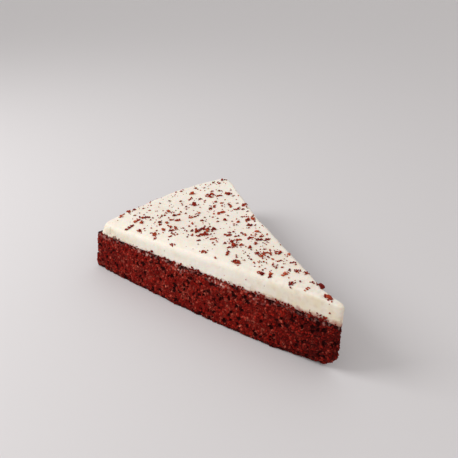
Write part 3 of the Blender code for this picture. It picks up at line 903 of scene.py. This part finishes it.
class Shader:
    """A small help for building a material's nodes."""

    def __init__(self, name):
        self.material = bpy.data.materials.new(name)
        self.material.use_nodes = True
        self.tree = self.material.node_tree
        self.surface = self.tree.nodes["Principled BSDF"]

    def node(self, kind, **settings):
        """Adds a node and sets it."""
        made = self.tree.nodes.new(kind)
        for name, value in settings.items():
            setattr(made, name, value)
        return made

    def join(self, source, target):
        """Links an output to an input."""
        self.tree.links.new(source, target)

    def grain(self, scale, detail=3.0, roughness=0.6):
        """Noise on the piece's own coordinates, with lumps about 1/scale metres across."""
        made = self.node("ShaderNodeTexNoise")
        place = self.node("ShaderNodeTexCoord").outputs["Object"]
        self.join(place, made.inputs["Vector"])
        made.inputs["Scale"].default_value = scale
        made.inputs["Detail"].default_value = detail
        made.inputs["Roughness"].default_value = roughness
        return made.outputs["Fac"]

    def painted(self, name):
        """The value that paint() kept under that name."""
        return self.node("ShaderNodeAttribute", attribute_name=name).outputs["Fac"]

    def ramp(self, value, stops):
        """Colours along a value from 0 to 1."""
        made = self.node("ShaderNodeValToRGB")
        self.join(value, made.inputs["Fac"])
        band = made.color_ramp
        while len(band.elements) < len(stops):
            band.elements.new(0.5)
        for element, (at, colour) in zip(band.elements, stops):
            element.position = at
            element.color = (*colour, 1.0)
        return made.outputs["Color"]

    def mixed(self, share, first, second):
        """Mixes a share of the second colour into the first. Each is a socket or a colour."""
        made = self.node("ShaderNodeMix", data_type="RGBA")
        self.join(share, made.inputs[0])
        for colour, target in ((first, made.inputs[6]), (second, made.inputs[7])):
            if isinstance(colour, bpy.types.NodeSocket):
                self.join(colour, target)
            else:
                target.default_value = (*colour, 1.0)
        return made.outputs[2]

    def fitted(self, value, low, high, to_low=0.0, to_high=1.0):
        """Maps a value from one range to another, and stops at its ends."""
        made = self.node("ShaderNodeMapRange")
        self.join(value, made.inputs["Value"])
        made.inputs["From Min"].default_value = low
        made.inputs["From Max"].default_value = high
        made.inputs["To Min"].default_value = to_low
        made.inputs["To Max"].default_value = to_high
        return made.outputs["Result"]

    def bumped(self, height, distance, strength):
        """Roughens the surface by a height from 0 to 1 over a distance in metres."""
        made = self.node("ShaderNodeBump")
        self.join(height, made.inputs["Height"])
        made.inputs["Distance"].default_value = distance
        made.inputs["Strength"].default_value = strength
        self.join(made.outputs["Normal"], self.surface.inputs["Normal"])

    def colour(self, source):
        """Gives the surface its colour."""
        self.join(source, self.surface.inputs["Base Color"])

    def roughness(self, scale, low, high):
        """Makes the surface uneven in gloss, from low to high."""
        uneven = self.fitted(self.grain(scale), 0.3, 0.7, low, high)
        self.join(uneven, self.surface.inputs["Roughness"])

    def set(self, **values):
        """Sets the surface's own values. An underscore stands for a space."""
        for name, value in values.items():
            self.surface.inputs[name.replace("_", " ")].default_value = value


def sponge_material():
    """Torn red crumb: rosy here and there, with painted shade nearly black in the bubbles, smeared
    with frosting.
    """
    made = Shader("red sponge crumb")
    crumb = made.ramp(made.painted("shade"), [
        (0.12, (0.180, 0.0018, 0.0005)), (0.40, (0.420, 0.0125, 0.0045)),
        (0.62, (0.620, 0.0430, 0.0210)), (0.88, (0.900, 0.2300, 0.1500)),
    ])
    speckle = made.fitted(made.grain(1500.0), 0.38, 0.64)
    speckled = made.mixed(speckle, crumb, (0.28, 0.006, 0.0022))
    # painted shade: depth darkens the crumb in bubbles, valleys and gaps, towards the tip and at
    # the foot
    depth = made.fitted(made.painted("depth"), 0.13, 0.86)
    deep = made.mixed(depth, speckled, (0.024, 0.0003, 0.0001))
    made.colour(made.mixed(made.painted("smear"), deep, (0.72, 0.40, 0.34)))
    made.roughness(1800.0, 0.62, 0.95)
    made.bumped(made.grain(3000.0, 4.0, 0.7), 0.00025, 0.8)
    made.set(Specular_IOR_Level=0.08)
    return made.material


def frosting_material():
    """Cream cheese frosting: off-white, satin and a little translucent, stained red at its foot."""
    made = Shader("cream cheese frosting")
    tone = made.ramp(made.grain(260.0, 5.0, 0.7), [
        (0.32, (0.80, 0.715, 0.57)), (0.45, (0.82, 0.755, 0.65)), (0.70, (0.85, 0.80, 0.72)),
    ])
    # painted light: pale makes the middle of the cut side and the back of the top paler
    painted_light_tone = made.mixed(made.painted("pale"), tone, (0.88, 0.825, 0.73))
    cut_tone = made.mixed(made.painted("cream"), painted_light_tone, (0.79, 0.69, 0.50))
    made.colour(made.mixed(made.painted("stain"), cut_tone, (0.36, 0.12, 0.09)))
    made.roughness(500.0, 0.42, 0.58)
    made.bumped(made.grain(1100.0, 3.0, 0.55), 0.00012, 0.5)
    made.set(Specular_IOR_Level=0.3, Subsurface_Weight=0.15, Subsurface_Scale=0.0015)
    return made.material


def crumb_material():
    """Loose cake crumbs, from dark red to an orange red."""
    made = Shader("loose red crumb")
    crumb = made.ramp(made.painted("shade"), [
        (0.0, (0.160, 0.004, 0.001)), (0.50, (0.350, 0.022, 0.006)), (1.0, (0.600, 0.110, 0.038)),
    ])
    speckle = made.fitted(made.grain(3000.0), 0.35, 0.65, 0.0, 0.5)
    made.colour(made.mixed(speckle, crumb, (0.12, 0.004, 0.001)))
    made.roughness(2000.0, 0.6, 0.9)
    made.bumped(made.grain(4200.0, 3.0, 0.7), 0.0002, 0.7)
    made.set(Specular_IOR_Level=0.15)
    return made.material


# ---------------------------------------------------------------- the studio

def camera():
    """The camera: it stands past the tip, on the front cut's side, and looks down."""
    heading = CAMERA_HEADING.normalized() * math.cos(CAMERA_PITCH)
    view = Vector((heading.x, heading.y, -math.sin(CAMERA_PITCH)))
    data = bpy.data.cameras.new("camera")
    data.sensor_width = SENSOR_MM
    data.lens = LENS_MM
    data.clip_start = 0.001
    made = bpy.data.objects.new("camera", data)
    made.location = CAMERA_PLACE
    made.rotation_euler = view.to_track_quat("-Z", "Y").to_euler()
    bpy.context.scene.collection.objects.link(made)
    bpy.context.scene.camera = made


def floor():
    """A plain pale floor."""
    bpy.ops.object.select_all(action="DESELECT")
    bpy.ops.mesh.primitive_plane_add(size=FLOOR_SIZE)
    made = bpy.context.object
    made.name = "floor"
    finish = Shader("pale floor")
    finish.set(Base_Color=FLOOR_COLOUR, Roughness=0.6, Specular_IOR_Level=0.2)
    made.data.materials.append(finish.material)


def seen_from_camera(right, ahead, up):
    """A place told from the slice's middle as the camera sees it, in metres."""
    heading = CAMERA_HEADING.normalized()
    sideways = Vector((-heading.y, heading.x)) * -1
    flat = heading * ahead + sideways * right
    return Vector((flat.x, flat.y, up))


def key_light():
    """A square panel up on the left that shines on the slice."""
    data = bpy.data.lights.new("key", "AREA")
    data.size = KEY_LIGHT_SIZE
    data.energy = KEY_LIGHT_WATTS
    made = bpy.data.objects.new("key", data)
    place = seen_from_camera(*KEY_LIGHT)
    made.location = place
    made.rotation_euler = (-place).to_track_quat("-Z", "Y").to_euler()
    bpy.context.scene.collection.objects.link(made)


def sky():
    """Even pale light from all round."""
    world = bpy.data.worlds.new("studio")
    world.use_nodes = True
    background = world.node_tree.nodes["Background"]
    background.inputs["Color"].default_value = SKY_COLOUR
    background.inputs["Strength"].default_value = SKY_STRENGTH
    bpy.context.scene.world = world
    bpy.context.scene.view_settings.view_transform = "Standard"


# ---------------------------------------------------------------- the whole slice

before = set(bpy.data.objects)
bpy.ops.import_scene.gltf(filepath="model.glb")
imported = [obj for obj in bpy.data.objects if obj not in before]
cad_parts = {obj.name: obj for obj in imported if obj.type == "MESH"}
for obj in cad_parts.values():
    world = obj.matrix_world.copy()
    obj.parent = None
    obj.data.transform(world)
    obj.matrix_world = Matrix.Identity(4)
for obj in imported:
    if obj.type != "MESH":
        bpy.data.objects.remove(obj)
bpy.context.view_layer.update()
noise.seed_set(SEED)  # without it noise_vector differs from run to run
camera()
floor()
sky()
key_light()
red = sponge()
white = frosting()
topping(surface_of(white))
dragged([surface_of(red), surface_of(white)])
